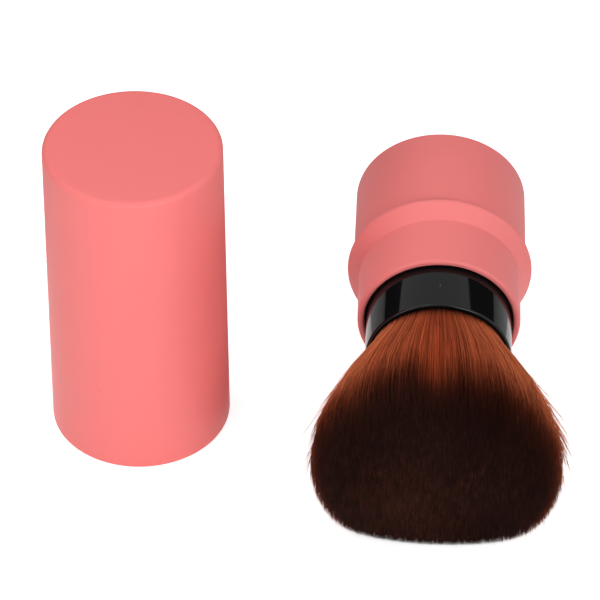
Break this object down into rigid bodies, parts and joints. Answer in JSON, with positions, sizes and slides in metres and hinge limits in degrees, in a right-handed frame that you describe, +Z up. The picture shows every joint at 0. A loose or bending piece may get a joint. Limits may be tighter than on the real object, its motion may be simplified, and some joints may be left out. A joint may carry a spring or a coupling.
{
  "type": "retractable face brush with cap",
  "caption": "Short round face brush lying on its side, with a sleeve that slides over the ferrule to gather the bristles, and its straight push-on cap stood upright beside it.",
  "frame": {"origin": "on the table, under the middle of the box round brush and cap", "axes": "+Z up; +X from the upright cap towards the brush; +Y along the lying brush's axis, out of the barrel's closed end, with the bristles at -Y"},
  "size_m": [0.1137, 0.099, 0.0766],
  "materials": {
    "soft_touch_pink": "soft-touch coat, satin",
    "plain_pink": "moulded, satin",
    "black_plastic": "moulded, satin",
    "zinc_steel": "zinc plated",
    "grey_rubber": "matte",
    "gloss_black": "polished",
    "set_glue": "cast",
    "bristles": "soft hair, orange-brown at the root and dark at the tip"
  },
  "bodies": {
    "brush": {"base_cup": "soft_touch_pink", "core_tube": "black_plastic", "core_screw": "zinc_steel", "friction_ring": "grey_rubber", "ferrule_cup": "gloss_black", "glue_puck": "set_glue", "bristle_head": "bristles"},
    "sleeve": {"sleeve_collar": "soft_touch_pink", "slide_tube": "plain_pink"},
    "cap": {"cap_shell": "soft_touch_pink"}
  },
  "joints": [
    {"name": "sleeve_slide", "type": "slide", "parent": "brush", "child": "sleeve", "axis": [0, -1, 0], "range_m": [0, 0.02], "deforming": ["bristle_head"]},
    {"name": "cap_lift", "type": "slide", "parent": "brush", "child": "cap", "axis": [0, 0, 1], "range_m": [0, 0.08]}
  ]
}
